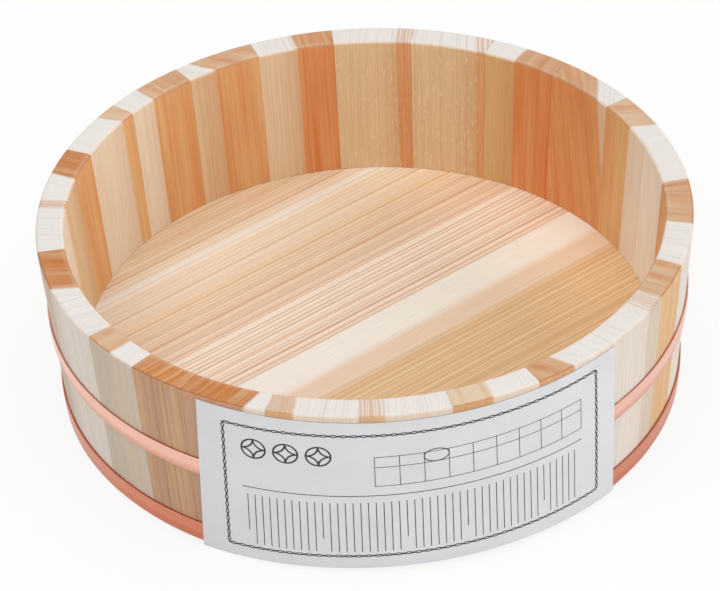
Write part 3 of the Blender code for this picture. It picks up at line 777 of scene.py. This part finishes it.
def brushed_copper():
    """Sheet copper, brushed along the band. Its dark upper edge is partly tarnish on the cut edge and
    partly painted shadow where the band meets the wall.

    It tones brown in faint patches. It is also painted browner on the lower hoop and low on each
    band, as painted dim reflection of the shaded floor near the foot.
    """
    material, tree = new_material("brushed_copper")
    band = add(tree, "Attribute", attribute_name="band").outputs["Vector"]
    drawn = add(tree, "VectorMath", {0: band, 1: (0.02, 1, 1)}, operation="MULTIPLY")
    scratch = add(tree, "TexNoise", {"Vector": drawn.outputs[0], "Scale": 4000.0, "Detail": 2.0})
    blotch = add(tree, "VectorMath", {0: band, 1: (0.3, 1, 1)}, operation="MULTIPLY")
    toning = add(tree, "TexNoise", {"Vector": blotch.outputs[0], "Scale": 160.0, "Detail": 4.0})
    brown = add(tree, "MapRange", {"Value": toning.outputs["Fac"], "From Min": 0.45,
                                   "From Max": 0.75, "To Max": 0.4}).outputs["Result"]
    _, height, across = add(tree, "SeparateXYZ", {0: band}).outputs
    # Painted dim reflection: browner copper on the lower hoop and towards the lower edge of each
    # band.
    low = add(tree, "MapRange", {"Value": height, "From Min": 39 * mm, "From Max": 12 * mm,
                                 "To Max": 0.75}).outputs["Result"]
    painted_dim_reflection = add(tree, "MapRange", {"Value": across, "From Min": 0.6, "From Max": 0.05,
                                   "To Max": 0.45}, interpolation_type="SMOOTHSTEP")
    brown = add(tree, "Math", {0: brown, 1: low}).outputs[0]
    brown = add(tree, "Math", {0: brown, 1: painted_dim_reflection.outputs["Result"]}, use_clamp=True).outputs[0]
    colour = add(tree, "Mix", {0: brown, 6: linear("#f5c6b3"), 7: linear("#cc7350")},
                 data_type="RGBA").outputs[2]
    # Painted shadow along the band's upper edge, on top of tarnish on the cut edge.
    dark = add(tree, "MapRange", {"Value": across, "From Min": 1.0, "From Max": 1.6,
                                  "To Max": 0.6}).outputs["Result"]
    colour = add(tree, "Mix", {0: dark, 6: colour, 7: linear("#a5543c")},
                 data_type="RGBA").outputs[2]
    rough = add(tree, "MapRange", {"Value": scratch.outputs["Fac"], "From Min": 0.3,
                                   "From Max": 0.7, "To Min": 0.26, "To Max": 0.42})
    bump = add(tree, "Bump", {"Height": scratch.outputs["Fac"], "Strength": 0.15,
                              "Distance": 0.02 * mm})
    shader = add(tree, "BsdfPrincipled", {"Base Color": colour, "Metallic": 1.0,
                                          "Roughness": rough.outputs["Result"],
                                          "Normal": bump.outputs[0]})
    add(tree, "OutputMaterial", {"Surface": shader.outputs[0]})
    return material


copper = brushed_copper()
for node, bottom, height in HOOPS:
    grid, flat = hoop_grid(bottom, height)
    hoop = add_piece(f"copper_{node}", grid, loop_faces(*grid.shape[:2], closed=True), sharp=40)
    give(hoop, "band", flat)
    hoop.data.materials.append(copper)
    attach(hoop, "root")
    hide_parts(node)

# Paper label
# A sheet of smooth white paper, 178 by 80 mm, wrapped over both hoops at the front and glued
# under its ends.

LABEL_WIDTH = 178 * mm
LABEL_HEIGHT = 80.4 * mm
LABEL_TOP = 81 * mm
LABEL_SAG = 1.2 * mm
LABEL_FOOT = 0.7 * mm
LABEL_ARCH = 1.4 * mm
LABEL_TILT = 0.5 * mm
LABEL_FLARE = 0.019
LABEL_THICKNESS = 0.2 * mm
LABEL_GAP, LABEL_TOP_GAP = 0.1 * mm, 0.15 * mm
LABEL_AZIMUTH = math.radians(-90)
LABEL_COLUMNS = 121
LABEL_ROWS = 41


def on_sheet(across, up, out):
    """Place in space of a point along the sheet, up it, and out from its back.

    Pressed on to the tapered wall, the sheet's top sags in the middle by a parabola and its foot
    is arched by another. It is tilted a little, and spreads evenly towards its foot. It hangs
    straight over the hoops, and bends in to the wall above the upper one.
    """
    u = across / (LABEL_WIDTH / 2)
    foot = LABEL_FOOT + LABEL_ARCH * (1 - u ** 2) + LABEL_TILT * u
    top = LABEL_TOP - LABEL_SAG * (1 - u ** 2)
    z = foot + (top - foot) * up / LABEL_HEIGHT
    hoop_top = HOOPS[0][1] + HOOPS[0][2]
    proud = HOOP_SEAT + HOOP_THICKNESS + HOOP_CROWN + LABEL_GAP
    r = wall_radius(z) + np.interp(z, (hoop_top, LABEL_TOP), (proud, LABEL_TOP_GAP)) + out
    spread = 1 + LABEL_FLARE * (1 - up / LABEL_HEIGHT)
    azimuth = LABEL_AZIMUTH + across * spread / r
    return np.stack([r * np.cos(azimuth), r * np.sin(azimuth), z], axis=-1)


def smooth_paper():
    """Smooth paper: a cool white, faintly clouded, with fibres that are felt more than seen."""
    material, tree = new_material("smooth_paper")
    place = add(tree, "TexCoord").outputs["Object"]
    pulp = add(tree, "TexNoise", {"Vector": place, "Scale": 2500.0, "Detail": 4.0,
                                  "Roughness": 0.7}).outputs["Fac"]
    cloud = add(tree, "TexNoise", {"Vector": place, "Scale": 50.0, "Detail": 2.0}).outputs["Fac"]
    white = add(tree, "Mix", {0: cloud, 6: linear("#d7d7da"), 7: linear("#e2e1e4")},
                data_type="RGBA").outputs[2]
    mottle = add(tree, "MapRange", {"Value": pulp, "From Min": 0.3, "From Max": 0.7,
                                    "To Min": 0.975, "To Max": 1.015}).outputs["Result"]
    white = add(tree, "VectorMath", {0: white, 1: mottle}, operation="MULTIPLY").outputs[0]
    bump = add(tree, "Bump", {"Height": pulp, "Strength": 0.12, "Distance": 0.03 * mm})
    shader = add(tree, "BsdfPrincipled", {"Base Color": white, "Roughness": 0.5,
                                          "Specular IOR Level": 0.4, "Normal": bump.outputs[0]})
    add(tree, "OutputMaterial", {"Surface": shader.outputs[0]})
    return material


across = np.linspace(-0.5, 0.5, LABEL_COLUMNS)[:, None] * LABEL_WIDTH
up = np.linspace(0, LABEL_HEIGHT, LABEL_ROWS)
grid = on_sheet(across, np.concatenate([up, up[::-1]]), np.repeat([LABEL_THICKNESS, 0], LABEL_ROWS))
label = add_piece("plain_label", grid, loop_faces(*grid.shape[:2], closed=False))
label.data.materials.append(smooth_paper())
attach(label, "root")
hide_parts("paper_label")

# Print on the label
# Blue-black ink: a chain border, a rule, an empty table with one heading ringed by pen, three
# roundels of overlapping circles, and plain upright lines where writing would be. Each line is a
# thin ribbon of ink on the paper's face.

INK_PROUD = 0.04 * mm
INK_ROOT = 0.05 * mm
PRINT_TURN = 0.009

# Widths of lines, and places on the sheet from its middle and its foot, in millimetres.
LINK_INK, BAR_INK, TABLE_INK, PEN_INK, ROUNDEL_INK, RULE_INK, WRITING_INK = (
    0.5, 0.85, 0.28, 0.45, 0.75, 0.38, 0.34)
CHAIN_PITCH = 3.9
LINK_LENGTH, LINK_WIDTH = 1.2, 0.55
TABLE_SLOPE = 0.01
TABLE_LEFT, TABLE_COLUMNS, COLUMN_WIDTH = -16.8, 9, 87.6 / 9
TABLE_RULES = (46.5, 56.7, 62.2)
ROUNDEL, ROUNDEL_HEIGHT = 4.9, 62.6
WRITING_TOP, WRITING_FOOT, SHORT_FOOT = 37.4, 9.6, 17


def straight(x, y, other_x, other_y):
    """Points of a straight line on the sheet, in millimetres, no more than 2 mm apart."""
    steps = math.ceil(math.hypot(other_x - x, other_y - y) / 2)
    return np.linspace((x, y), (other_x, other_y), steps + 1)


def oval(x, y, width, height, start=0, end=360, steps=12):
    """Points round an oval on the sheet, anticlockwise from one angle in degrees to another."""
    angles = np.radians(np.linspace(start, end, steps + 1))
    return np.column_stack([x + width * np.cos(angles), y + height * np.sin(angles)])


def ribbon(path, width):
    """Sections of ink along a path in millimetres, and whether it comes back to its start.

    Each section is a flat rectangle across the path's mean direction there. Its outer face
    stands just clear of the paper, and its inner one lies just below the paper's face.
    """
    closed = bool(np.allclose(path[0], path[-1]))
    if closed:
        path = path[:-1]
        along = np.roll(path, -1, axis=0) - np.roll(path, 1, axis=0)
    else:
        along = np.gradient(path, axis=0)
    along /= np.linalg.norm(along, axis=1)[:, None]
    aside = np.column_stack([-along[:, 1], along[:, 0]]) * width / 2
    plan = np.stack([path - aside, path + aside, path + aside, path - aside], axis=1)
    x, y = plan[..., 0] * mm, plan[..., 1] * mm
    out = LABEL_THICKNESS + np.array([INK_PROUD, INK_PROUD, -INK_ROOT, -INK_ROOT])
    return on_sheet(x - PRINT_TURN * y, y + PRINT_TURN * x, out), closed


def chain_border():
    """Links end to end round the print: an oval each, with a short thick bar on either side."""
    lines = []
    for x, y, reach, sideways in ((1, 73.8, 78, 1), (1, 7.2, 78, 1),
                                  (-77, 40.5, 33.3, 0), (79, 40.5, 33.3, 0)):
        count = round(2 * reach / CHAIN_PITCH)
        half = reach / count
        way = np.array([sideways, 1 - sideways])
        for place in np.linspace(half - reach, reach - half, count):
            middle = (x, y) + place * way
            lines.append((oval(*middle, *(LINK_WIDTH + (LINK_LENGTH - LINK_WIDTH) * way)), LINK_INK))
            for turn in (-1, 1):
                lines.append((straight(*(middle + turn * LINK_LENGTH * way),
                                       *(middle + turn * half * way)), BAR_INK))
    return lines


def empty_table():
    """Nine columns with a heading line, printed at a slight slope, and the pen's ring."""
    right = TABLE_LEFT + TABLE_COLUMNS * COLUMN_WIDTH
    rise = TABLE_SLOPE * (right - TABLE_LEFT)
    lines = [(straight(TABLE_LEFT, y, right, y + rise), TABLE_INK) for y in TABLE_RULES]
    for x in TABLE_LEFT + np.arange(TABLE_COLUMNS + 1) * COLUMN_WIDTH:
        lift = TABLE_SLOPE * (x - TABLE_LEFT)
        lines.append((straight(x, TABLE_RULES[0] + lift, x, TABLE_RULES[-1] + lift), TABLE_INK))
    return lines + [(oval(7.5, 60.3, 5.0, 3.3, steps=32), PEN_INK)]


def roundels():
    """Three circles. Inside each, four arcs of the same radius join its quarter points."""
    lines = []
    for x in (-64.5, -51.5, -38.5):
        lines.append((oval(x, ROUNDEL_HEIGHT, ROUNDEL, ROUNDEL, steps=32), ROUNDEL_INK))
        for quarter, (right, up) in enumerate(((-1, -1), (1, -1), (1, 1), (-1, 1))):
            lines.append((oval(x + right * ROUNDEL, ROUNDEL_HEIGHT + up * ROUNDEL, ROUNDEL, ROUNDEL,
                               90 * quarter, 90 * quarter + 90), ROUNDEL_INK))
    return lines


def writing_lines():
    """Upright lines, 3 mm apart and a few of them short, under a rule across the sheet."""
    lines = [(straight(-69.8, 41.3, 70.8, 41.3), RULE_INK)]
    for number, x in enumerate(np.arange(-67.8, 68.5, 3.0)):
        foot = SHORT_FOOT if number in (0, 10, 21, 29, 40) else WRITING_FOOT
        lines.append((straight(x, foot, x, WRITING_TOP), WRITING_INK))
    return lines


def print_ink():
    """Blue-black ink, matt, and paler in specks where the paper took less of it."""
    material, tree = new_material("print_ink")
    place = add(tree, "TexCoord").outputs["Object"]
    speck = add(tree, "TexNoise", {"Vector": place, "Scale": 2500.0, "Detail": 2.0}).outputs["Fac"]
    thin = add(tree, "MapRange", {"Value": speck, "From Min": 0.5, "From Max": 0.75,
                                  "To Max": 0.5}).outputs["Result"]
    colour = add(tree, "Mix", {0: thin, 6: linear("#20242c"), 7: linear("#5d626c")},
                 data_type="RGBA").outputs[2]
    shader = add(tree, "BsdfPrincipled", {"Base Color": colour, "Roughness": 0.6})
    add(tree, "OutputMaterial", {"Surface": shader.outputs[0]})
    return material


points, faces = [], []
for path, width in chain_border() + empty_table() + roundels() + writing_lines():
    sections, closed = ribbon(path, width)
    faces.append(np.array(loop_faces(*sections.shape[:2], closed)) + 4 * sum(map(len, points)))
    points.append(sections)
ink = add_piece("label_print", np.concatenate(points), np.concatenate(faces).tolist())
ink.data.materials.append(print_ink())
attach(ink, "root")
